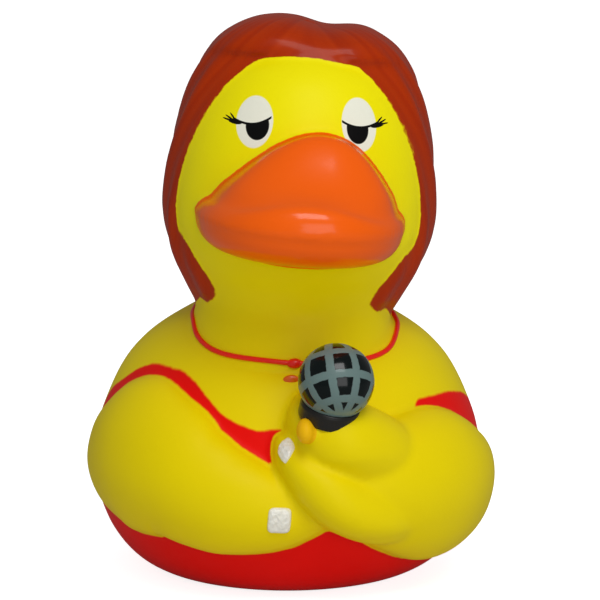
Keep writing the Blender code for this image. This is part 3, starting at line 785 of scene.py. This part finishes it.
def noise(tree, where, scale, detail=2.0):
    node = addNode(tree, "ShaderNodeTexNoise")
    plug(tree, node.inputs["Vector"], where)
    node.inputs["Scale"].default_value = scale
    node.inputs["Detail"].default_value = detail
    return node.outputs["Fac"]


def bumped(tree, height, distance, strength=1.0):
    node = addNode(tree, "ShaderNodeBump")
    plug(tree, node.inputs["Height"], height)
    node.inputs["Distance"].default_value = distance
    node.inputs["Strength"].default_value = strength
    return node.outputs["Normal"]


def newMaterial(name, specular=0.5, coat=0.0, coatRoughness=0.1):
    material = bpy.data.materials.new(name)
    material.use_nodes = True
    shader = material.node_tree.nodes["Principled BSDF"]
    shader.inputs["Specular IOR Level"].default_value = specular
    shader.inputs["Coat Weight"].default_value = coat
    shader.inputs["Coat Roughness"].default_value = coatRoughness
    where = addNode(material.node_tree, "ShaderNodeTexCoord").outputs["Object"]
    return material, material.node_tree, shader, where


def pointValue(tree, name):
    return addNode(tree, "ShaderNodeAttribute", attribute_name=name).outputs["Fac"]


paints = {
    "skin": (0.86, 0.69, 0.0),
    # the face colour is painted light: the head is painted lighter than the body for the brighter
    # light falling on it
    "face": (0.93, 0.83, 0.0),
    "mottle": (0.55, 0.38, 0.0),
    "neckHeight": 50,
    "hair": (0.36, 0.021, 0.0),
    # the lighter strand colour is painted sheen along the locks
    "hairSheen": (0.45, 0.034, 0.0),
    "bill": (0.95, 0.120, 0.0),
    "white": (0.86, 0.86, 0.72),
    "lash": (0.004, 0.004, 0.004),
    "pearl": (0.92, 0.91, 0.82),
}

vinyl = {  # lengths in millimetres, scales in shapes to a metre
    "headLightBlend": 12,
    "mottleShare": 0.06,
    "mottleScale": 160,
    "softHair": 0.10,  # half widths of the paint's soft edges
    "softBill": 0.12,
    "softThumb": 0.15,
    "edgeWobble": 0.30,
    "wobbleScale": 900,
    "strandsRound": 11.0,
    "strandsDown": 30.0,
    "strandContrast": 0.40,
    "roughSkin": (0.40, 0.50),
    "roughScale": 420,
    "roughDress": 0.42,
    "roughBill": 0.36,
    "roughHair": 0.40,
    "glossBill": 0.5,
    "glossHair": 0.12,
    "dullRoot": 1.9,
    "dullBlend": 1.0,
    "grain": 0.35,
    "grainScale": 1500,
    "ridges": 1.6,
    "bump": 0.06,
}

# The printed eyes: flat shapes pressed on from the front. Places and half sizes are in
# millimetres from the middle of each white, across and up; the third number is a turn in
# degrees. The lid is a bow, with its lowest point, its bend and its half length and width.
eyes = {
    "left": {
        "middle": Vector((-6.33, -25.58, 77.45)),
        "white": ((0.0, 0.0), (2.92, 4.20), -4),
        "pupil": ((0.45, -0.62), (1.86, 2.36), -4),
        "lid": {"low": (-0.30, -0.37), "bend": 0.115, "half": (2.98, 0.20)},
        "lashes": (((-3.1, 0.15), (1.15, 0.42), -16), ((-3.95, 0.42), (1.25, 0.16), -22),
                   ((-3.75, 0.62), (1.15, 0.15), -38), ((-3.4, 0.85), (0.95, 0.14), -56)),
    },
    "right": {
        "middle": Vector((10.11, -25.9, 76.92)),
        "white": ((0.0, 0.0), (2.72, 4.35), 5),
        "pupil": ((-0.22, -0.72), (1.72, 2.40), 5),
        "lid": {"low": (0.15, -0.45), "bend": 0.115, "half": (2.85, 0.20)},
        "lashes": (((2.9, 0.05), (1.1, 0.42), 14), ((3.6, 0.25), (1.15, 0.16), 14),
                   ((3.45, 0.5), (1.1, 0.15), 34), ((3.15, 0.72), (0.95, 0.14), 52)),
    },
}

azimuthNow, elevationNow = photoView["azimuth"], photoView["elevation"]
printRight = Vector((math.cos(azimuthNow), math.sin(azimuthNow), 0))
printOut = Vector((math.sin(azimuthNow) * math.cos(elevationNow),
                   -math.cos(azimuthNow) * math.cos(elevationNow), math.sin(elevationNow)))
printUp = printOut.cross(printRight)
printTurn = Matrix((printRight, printUp, printOut)).transposed().to_euler()


def sheetPoint(tree, where, middle):  # across, up and out from the middle of a print, in mm
    node = addNode(tree, "ShaderNodeMapping", vector_type="TEXTURE")
    plug(tree, node.inputs["Vector"], where)
    node.inputs["Location"].default_value = middle * mm
    node.inputs["Rotation"].default_value = printTurn
    node.inputs["Scale"].default_value = (mm, mm, mm)
    flatten = addNode(tree, "ShaderNodeVectorMath", operation="MULTIPLY")
    tree.links.new(node.outputs[0], flatten.inputs[0])
    flatten.inputs[1].default_value = (1, 1, 0)
    return flatten.outputs[0]


def inOval(tree, sheet, middle, half, degrees, soft=0.03):
    node = addNode(tree, "ShaderNodeMapping", vector_type="TEXTURE")
    plug(tree, node.inputs["Vector"], sheet)
    node.inputs["Location"].default_value = (middle[0], middle[1], 0)
    node.inputs["Rotation"].default_value = (0, 0, math.radians(degrees))
    node.inputs["Scale"].default_value = (half[0], half[1], 1)
    length = addNode(tree, "ShaderNodeVectorMath", operation="LENGTH")
    tree.links.new(node.outputs[0], length.inputs[0])
    return softStep(tree, calc(tree, "SUBTRACT", 1.0, length.outputs["Value"]), soft)


def printEye(tree, where, eye):
    sheet = sheetPoint(tree, where, eye["middle"])
    split = addNode(tree, "ShaderNodeSeparateXYZ")
    tree.links.new(sheet, split.inputs[0])
    across, up = split.outputs[0], split.outputs[1]
    lid = eye["lid"]
    away = calc(tree, "SUBTRACT", across, lid["low"][0])
    bow = calc(tree, "MULTIPLY", calc(tree, "MULTIPLY", away, away), lid["bend"])
    aboveLid = calc(tree, "SUBTRACT", calc(tree, "SUBTRACT", up, lid["low"][1]), bow)
    inWhite = inOval(tree, sheet, *eye["white"])
    pupil = inOval(tree, sheet, *eye["pupil"])
    below = softStep(tree, calc(tree, "MULTIPLY", aboveLid, -1.0), 0.04)
    pupil = calc(tree, "MULTIPLY", pupil, below)
    inReach = softStep(tree, calc(tree, "SUBTRACT", lid["half"][0],
                                  calc(tree, "ABSOLUTE", away)), 0.06)
    line = softStep(tree, calc(tree, "SUBTRACT", lid["half"][1],
                               calc(tree, "ABSOLUTE", aboveLid)), 0.04)
    black = calc(tree, "MAXIMUM", pupil, calc(tree, "MULTIPLY", line, inReach))
    for lash in eye["lashes"]:
        black = calc(tree, "MAXIMUM", black, inOval(tree, sheet, *lash, soft=0.06))
    return inWhite, black


def paintedVinyl():
    material, tree, shader, where = newMaterial("painted_vinyl", 0.09, 0.0, 0.14)
    wobble = calc(tree, "SUBTRACT", noise(tree, where, vinyl["wobbleScale"], 3.0), 0.5)
    wobble = calc(tree, "MULTIPLY", wobble, vinyl["edgeWobble"])

    def zone(name, half):
        return softStep(tree, calc(tree, "ADD", pointValue(tree, name), wobble), half)

    onHair = zone("hairSide", vinyl["softHair"])
    onBill = zone("billSide", vinyl["softBill"])
    onThumb = zone("thumbSide", vinyl["softThumb"])
    onCloth = calc(tree, "MULTIPLY", zone("clothSide", dress["overspray"]),
                   zone("belowNeckline", dress["overspray"]))

    height = addNode(tree, "ShaderNodeSeparateXYZ")
    tree.links.new(where, height.inputs[0])
    high = calc(tree, "SUBTRACT", height.outputs[2], paints["neckHeight"] * mm)
    mottle = calc(tree, "MULTIPLY", noise(tree, where, vinyl["mottleScale"], 4.0),
                  vinyl["mottleShare"])
    # painted light: above the neck the paint turns to the lighter face colour, standing in for the
    # brighter light on the head
    headLightShare = softStep(tree, high, vinyl["headLightBlend"] * mm)
    skin = mixed(tree, headLightShare, paints["skin"], paints["face"])
    skin = mixed(tree, mottle, skin, paints["mottle"])
    strand = pointValue(tree, "strand")
    strandVector = addNode(tree, "ShaderNodeCombineXYZ")
    plug(tree, strandVector.inputs[0], calc(tree, "MULTIPLY", strand, vinyl["strandsRound"]))
    plug(tree, strandVector.inputs[1],
         calc(tree, "MULTIPLY", height.outputs[2], vinyl["strandsDown"]))
    strands = noise(tree, strandVector.outputs[0], 1.0, 1.5)
    # painted sheen: lighter streaks along the strands, on the tops of the ridges the bump raises
    sheenStrand = softStep(tree, calc(tree, "SUBTRACT", strands, 0.5), vinyl["strandContrast"])
    hairColour = mixed(tree, sheenStrand, paints["hair"], paints["hairSheen"])

    colour = mixed(tree, onThumb, skin, thumb["colour"])
    colour = mixed(tree, onCloth, colour, dress["colour"])
    for eye in eyes.values():
        inWhite, black = printEye(tree, where, eye)
        colour = mixed(tree, inWhite, colour, paints["white"])
        colour = mixed(tree, black, colour, paints["lash"])
    colour = mixed(tree, onBill, colour, paints["bill"])
    colour = mixed(tree, onHair, colour, hairColour)
    plug(tree, shader.inputs["Base Color"], colour)

    rough = mixed(tree, noise(tree, where, vinyl["roughScale"], 2.0), *vinyl["roughSkin"], "FLOAT")
    rough = mixed(tree, onCloth, rough, vinyl["roughDress"], "FLOAT")
    rough = mixed(tree, onBill, rough, vinyl["roughBill"], "FLOAT")
    rough = mixed(tree, onHair, rough, vinyl["roughHair"], "FLOAT")
    plug(tree, shader.inputs["Roughness"], rough)
    # the bill's paint is dull at its root and glossy out on the lips
    fromRoot = calc(tree, "SUBTRACT", pointValue(tree, "billSide"), vinyl["dullRoot"])
    fromRoot = softStep(tree, fromRoot, vinyl["dullBlend"])
    glossy = calc(tree, "MAXIMUM", calc(tree, "MULTIPLY", fromRoot, vinyl["glossBill"]),
                  calc(tree, "MULTIPLY", onHair, vinyl["glossHair"]))
    plug(tree, shader.inputs["Coat Weight"], glossy)

    grain = calc(tree, "MULTIPLY", noise(tree, where, vinyl["grainScale"], 2.0), vinyl["grain"])
    ridges = calc(tree, "MULTIPLY", calc(tree, "MULTIPLY", strands, onHair), vinyl["ridges"])
    relief = calc(tree, "ADD", grain, ridges)
    plug(tree, shader.inputs["Normal"], bumped(tree, relief, vinyl["bump"] * mm))
    return material


duck = addPiece("duck", duckMesh, paintedVinyl())
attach(duck, "root")
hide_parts("duck_shell")
print("duck: painted")

duckFaces = [list(face.vertices) for face in duckMesh.polygons]
duckTree = BVHTree.FromPolygons(points.tolist(), duckFaces)


# Microphone: ball with a printed lattice, and the collar it sits in

def latticedBlack():
    material, tree, shader, where = newMaterial("microphone_black", 0.2, 0.3, 0.06)
    fromMiddle = addNode(tree, "ShaderNodeMapping", vector_type="TEXTURE")
    plug(tree, fromMiddle.inputs["Vector"], where)
    fromMiddle.inputs["Location"].default_value = Vector(ballMiddle) * mm
    size = microphone["ballRadius"] * mm
    fromMiddle.inputs["Scale"].default_value = (size, size, size)
    pole = microphone["latticePole"]
    east = Vector((1, 0, 0)) - pole * pole.x
    east.normalize()
    front = east.cross(pole)

    def along(direction):
        node = addNode(tree, "ShaderNodeVectorMath", operation="DOT_PRODUCT")
        tree.links.new(fromMiddle.outputs[0], node.inputs[0])
        node.inputs[1].default_value = direction
        return node.outputs["Value"]

    latitude = calc(tree, "DEGREES", calc(tree, "ARCSINE", along(pole)))
    half = microphone["barHalfDegrees"]
    wobble = calc(tree, "SUBTRACT", noise(tree, where, microphone["wobbleScale"], 2.0), 0.5)
    wobble = calc(tree, "MULTIPLY", wobble, microphone["edgeWobble"])

    def bar(distance):
        near = calc(tree, "SUBTRACT", half, calc(tree, "ABSOLUTE", distance))
        return softStep(tree, calc(tree, "ADD", near, wobble), microphone["softEdge"])

    lattice = 0.0
    for degrees in microphone["ringDegrees"]:
        ring = bar(calc(tree, "SUBTRACT", latitude, degrees))
        lattice = calc(tree, "MAXIMUM", lattice, ring)
    longitude = calc(tree, "ARCTAN2", along(east), along(front))
    longitude = calc(tree, "SUBTRACT", longitude, microphone["meridianTurn"])
    step = 2 * math.pi / microphone["meridians"]
    offset = calc(tree, "WRAP", longitude, step / 2)
    offset.node.inputs[2].default_value = -step / 2
    beside = calc(tree, "MULTIPLY", calc(tree, "DEGREES", offset),
                  calc(tree, "COSINE", calc(tree, "RADIANS", latitude)))
    lattice = calc(tree, "MAXIMUM", lattice, bar(beside))
    foot = calc(tree, "SUBTRACT", microphone["footBand"], along(microphone["axis"]))
    lattice = calc(tree, "MAXIMUM", lattice, softStep(tree, foot, microphone["softFoot"]))

    plug(tree, shader.inputs["Base Color"],
         mixed(tree, lattice, microphone["black"], microphone["lattice"]))
    plug(tree, shader.inputs["Roughness"], mixed(tree, lattice, *microphone["rough"], "FLOAT"))
    plug(tree, shader.inputs["Normal"], bumped(tree, lattice, microphone["printProud"] * mm))
    return material


def plainPaint(name, colour, rough, specular=0.5, coat=0.0, grainScale=1500, grain=0.04):
    material, tree, shader, where = newMaterial(name, specular, coat)
    fine = noise(tree, where, grainScale, 3.0)
    plug(tree, shader.inputs["Base Color"],
         mixed(tree, fine, tuple(0.9 * c for c in colour), colour))
    plug(tree, shader.inputs["Roughness"], mixed(tree, fine, 0.85 * rough, 1.15 * rough, "FLOAT"))
    plug(tree, shader.inputs["Normal"], bumped(tree, fine, grain * mm))
    return material


ballForm = gridForm(placeBall(ballMiddle, [microphone["ballRadius"]] * 3), 128, 96)
ball = addPiece("microphone_ball", meshOf("microphone_ball", *ballForm), latticedBlack())
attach(ball, "root")


def placeCollar(azimuth, latitude):  # a round disc with rounded rims, and its stem below
    radius, height = microphone["collarRadius"], microphone["collarHeight"]
    rim, stem = microphone["collarRounding"], microphone["stemRadius"]
    foot, footRim = -microphone["stemFoot"], microphone["stemRounding"]
    turnUp = Vector((0, 0, 1)).rotation_difference(microphone["axis"]).to_matrix()
    # share of the walk from the stem's foot to the top of the disc, reach, height
    walk = latitude / np.pi + 0.5
    profile = (
        (0.0, 0.0, foot), (0.12, stem - footRim, foot),
        (0.16, stem, foot + footRim), (0.36, stem, -height / 2),
        (0.48, radius - rim, -height / 2), (0.54, radius - 0.2 * rim, -height / 2 + 0.3 * rim),
        (0.58, radius, -height / 2 + rim), (0.72, radius, height / 2 - rim),
        (0.76, radius - 0.2 * rim, height / 2 - 0.3 * rim), (0.82, radius - rim, height / 2),
        (1.0, 0.0, height / 2),
    )
    reach = np.interp(walk, [p[0] for p in profile], [p[1] for p in profile])
    along = np.interp(walk, [p[0] for p in profile], [p[2] for p in profile])
    local = stack(reach * np.sin(azimuth), -reach * np.cos(azimuth), along)
    return collarMiddle + turned(local, turnUp)


collar = addPiece("microphone_collar", meshOf("microphone_collar", *gridForm(placeCollar, 96, 100)),
                  plainPaint("collar_black", microphone["collarBlack"], 0.38, 0.5, 0.2))
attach(collar, "root")
print("microphone: done")


# Neck cord with its knot and one short end

cord = {
    "radius": 0.43,
    "sink": 0.16,
    "smoothing": 6,
    # where the printed cord lies round the foot of the neck
    "line": (
        (-14.0, 0.0, 44.7), (-15.7, -5.5, 44.2), (-15.9, -10.4, 43.6), (-15.4, -14.5, 41.7),
        (-14.5, -17.1, 40.8), (-12.9, -19.8, 40.0), (-10.6, -22.3, 39.6), (-7.9, -24.1, 39.4),
        (-4.3, -25.6, 39.2), (-0.8, -26.2, 38.9), (2.4, -26.1, 38.7), (6.5, -25.1, 38.5),
        (9.8, -23.3, 38.6), (12.9, -21.0, 38.8), (15.4, -18.1, 39.4), (16.6, -15.3, 40.3),
        (17.4, -11.7, 41.3), (17.9, -7.3, 42.2), (16.0, -1.0, 43.9),
    ),
    "knot": Vector((-0.1, -26.25, 38.85)),
    "knotHalfSizes": Vector((1.25, 0.75, 0.8)),
    "end": Vector((-0.65, -27.2, 36.4)),
    "endHalfSizes": Vector((1.3, 0.45, 0.75)),
    "endColour": (0.80, 0.13, 0.0),
    "colour": (0.93, 0.010, 0.001),
}


def onSkin(point):  # the nearest point of the duck's skin and the way out there, in mm
    foot, normal, _, _ = duckTree.find_nearest(Vector(point) * mm)
    return foot / mm, normal


def throughPoints(line, count):  # an even, smooth walk through the points
    line = np.array(line, float)
    walked = np.concatenate([[0], np.cumsum(np.linalg.norm(np.diff(line, axis=0), axis=1))])
    rows = np.column_stack([walked, line])
    return readTable(rows, np.linspace(0, walked[-1], count))


cordPoints = []
for point in throughPoints(cord["line"], 140):
    foot, normal = onSkin(point)
    cordPoints.append((foot + normal * (cord["radius"] - 2 * cord["sink"])) * mm)
for _ in range(cord["smoothing"]):
    inner = [(a + b * 2 + c) / 4 for a, b, c in zip(cordPoints, cordPoints[1:], cordPoints[2:])]
    cordPoints = [cordPoints[0], *inner, cordPoints[-1]]
cordCurve = bpy.data.curves.new("neck_cord", "CURVE")
cordCurve.dimensions = "3D"
cordCurve.bevel_depth = cord["radius"] * mm
cordCurve.bevel_resolution = 5
cordCurve.use_fill_caps = True
cordLine = cordCurve.splines.new("POLY")
cordLine.points.add(len(cordPoints) - 1)
for spot, place in zip(cordLine.points, cordPoints):
    spot.co = (*place, 1)
cordRed = plainPaint("cord_red", cord["colour"], 0.36, 0.45, 0.2)
cordCurve.materials.append(cordRed)
neckCord = bpy.data.objects.new("neck_cord", cordCurve)
bpy.context.scene.collection.objects.link(neckCord)
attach(neckCord, "root")

knot = addPiece("cord_knot", meshOf("cord_knot", *gridForm(
    placeBall(cord["knot"], cord["knotHalfSizes"]), 40, 28)), cordRed)
cordEnd = addPiece("cord_end", meshOf("cord_end", *gridForm(
    placeBall(cord["end"], cord["endHalfSizes"]), 40, 28)),
    plainPaint("cord_end_orange", cord["endColour"], 0.36, 0.45, 0.2))
for piece in (knot, cordEnd):
    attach(piece, "root")
print("neck cord: done")


# The two raised stones on the hands, each following the skin under it

stones = {
    "squareStone": {"at": (-3.03, 15.83), "half": (1.85, 2.1), "turn": math.radians(-4),
                    "corner": 5.0},
    "kiteStone": {"at": (-2.06, 27.12), "half": (1.5, 2.2), "turn": math.radians(14),
                  "corner": 1.5},
}
stoneEdge = {"proud": 0.55, "sink": 0.5, "lump": 0.05, "searchFrom": 4.0, "searchReach": 12.0}


def addStone(name, size):
    across, up = size["at"]
    start = Vector((across, -200, up)) * mm
    seat, normal, _, _ = duckTree.ray_cast(start, Vector((0, 1, 0)))
    out = Vector((0, -1, 0)).lerp(normal, 0.8).normalized()
    spin = Matrix.Rotation(size["turn"], 3, out)
    upright = spin @ (Vector((0, 0, 1)) - out * out.z).normalized()
    sideways = upright.cross(out)
    power = 2 / size["corner"]

    def place(azimuth, latitude):
        r = np.cos(latitude)
        a = size["half"][0] * r * signedPower(np.sin(azimuth), power)
        b = size["half"][1] * r * signedPower(np.cos(azimuth), power)
        rounding = np.sqrt(np.maximum(1 - r**8, 0))
        lift = np.where(latitude > 0, stoneEdge["proud"], -stoneEdge["sink"]) * rounding
        found = []
        for x, y, h in zip(a, b, lift):
            flat = seat + (sideways * x + upright * y) * mm
            above = flat + out * stoneEdge["searchFrom"] * mm
            foot, _, _, _ = duckTree.ray_cast(above, -out, stoneEdge["searchReach"] * mm)
            foot = foot if foot is not None else flat
            lump = stoneEdge["lump"] * math.sin(5.1 * x + 1.3) * math.sin(4.3 * y + 2.1 * x)
            lump = 0.0 if h < 0 else lump
            found.append(foot / mm + out * (h + lump))
        return np.array([list(p) for p in found])

    stone = addPiece(name, meshOf(name, *gridForm(place, 160, 48)), pearlPaint)
    smooth = stone.modifiers.new("soften", "SMOOTH")
    smooth.factor = 0.5
    smooth.iterations = 2
    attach(stone, "root")


pearlPaint = plainPaint("pearl_white", paints["pearl"], 0.22, 0.6, 0.6, 1700, 0.30)
for name, size in stones.items():
    addStone(name, size)
print("stones: done")


# Floor, lamps, backdrop and camera

floorLook = {"colour": (0.82, 0.82, 0.82), "colourReflected": (0.20, 0.20, 0.20),
             "glow": 0.85, "glowReflected": 0.06}
backdrop = {"light": 0.35, "seen": 1.0, "reflected": 0.15}
lampAim = Vector((0, 0, 45))
lamps = {
    "key": {"place": (90, -430, 560), "size": 320, "power": 1.9},
    "fill": {"place": (150, -600, 110), "size": 320, "power": 0.7},
}


def softLamp(name, place, size, power):
    lamp = bpy.data.lights.new(name, "AREA")
    lamp.size = size * mm
    lamp.energy = power * (1000 * mm) ** 2  # the power is for a duck at its written size
    holder = bpy.data.objects.new(name, lamp)
    bpy.context.scene.collection.objects.link(holder)
    holder.location = Vector(place) * mm
    towards = lampAim * mm - holder.location
    holder.rotation_euler = towards.to_track_quat("-Z", "Y").to_euler()


def paleFloor():
    material = bpy.data.materials.new("pale_floor")
    material.use_nodes = True
    tree = material.node_tree
    tree.nodes.clear()
    out = addNode(tree, "ShaderNodeOutputMaterial")
    matt = addNode(tree, "ShaderNodeBsdfDiffuse")
    glow = addNode(tree, "ShaderNodeEmission")
    rays = addNode(tree, "ShaderNodeLightPath")
    plug(tree, matt.inputs["Color"], mixed(tree, rays.outputs["Is Glossy Ray"],
                                           floorLook["colour"], floorLook["colourReflected"]))
    seen = calc(tree, "MAXIMUM", rays.outputs["Is Camera Ray"],
                rays.outputs["Is Transmission Ray"])
    seen = calc(tree, "MULTIPLY", seen, floorLook["glow"])
    glossy = calc(tree, "MULTIPLY", rays.outputs["Is Glossy Ray"], floorLook["glowReflected"])
    plug(tree, glow.inputs["Strength"], calc(tree, "ADD", seen, glossy))
    both = addNode(tree, "ShaderNodeAddShader")
    tree.links.new(matt.outputs[0], both.inputs[0])
    tree.links.new(glow.outputs[0], both.inputs[1])
    tree.links.new(both.outputs[0], out.inputs["Surface"])
    return material


floorMesh = bpy.data.meshes.new("floor")
floorReach = 3000 * mm
corners = [(-floorReach, -floorReach, 0), (floorReach, -floorReach, 0),
           (floorReach, floorReach, 0), (-floorReach, floorReach, 0)]
floorMesh.from_pydata(corners, [], [(0, 1, 2, 3)])
floor = addPiece("floor", floorMesh, paleFloor())

world = bpy.data.worlds.new("studio")
bpy.context.scene.world = world
world.use_nodes = True
air = world.node_tree
airLight = air.nodes["Background"]
airLight.inputs["Color"].default_value = (1, 1, 1, 1)
rays = addNode(air, "ShaderNodeLightPath")
seen = calc(air, "MAXIMUM", rays.outputs["Is Camera Ray"], rays.outputs["Is Transmission Ray"])
strength = mixed(air, seen, backdrop["light"], backdrop["seen"], "FLOAT")
strength = mixed(air, rays.outputs["Is Glossy Ray"], strength, backdrop["reflected"], "FLOAT")
plug(air, airLight.inputs["Strength"], strength)

for name, lamp in lamps.items():
    softLamp(name, lamp["place"], lamp["size"], lamp["power"])

cameraPlace = photoView["target"] + printOut * photoView["distance"]
cameraData = bpy.data.cameras.new("camera")
cameraData.lens = cameraData.sensor_width * photoView["distance"] / photoView["widthAtTarget"]
cameraData.clip_start = 10 * mm
camera = bpy.data.objects.new("camera", cameraData)
camera.location = cameraPlace
camera.rotation_euler = (-printOut).to_track_quat("-Z", "Y").to_euler()
bpy.context.scene.collection.objects.link(camera)
bpy.context.scene.camera = camera
bpy.context.scene.view_settings.view_transform = "Standard"
print("stage: set")

bpy.context.view_layer.update()
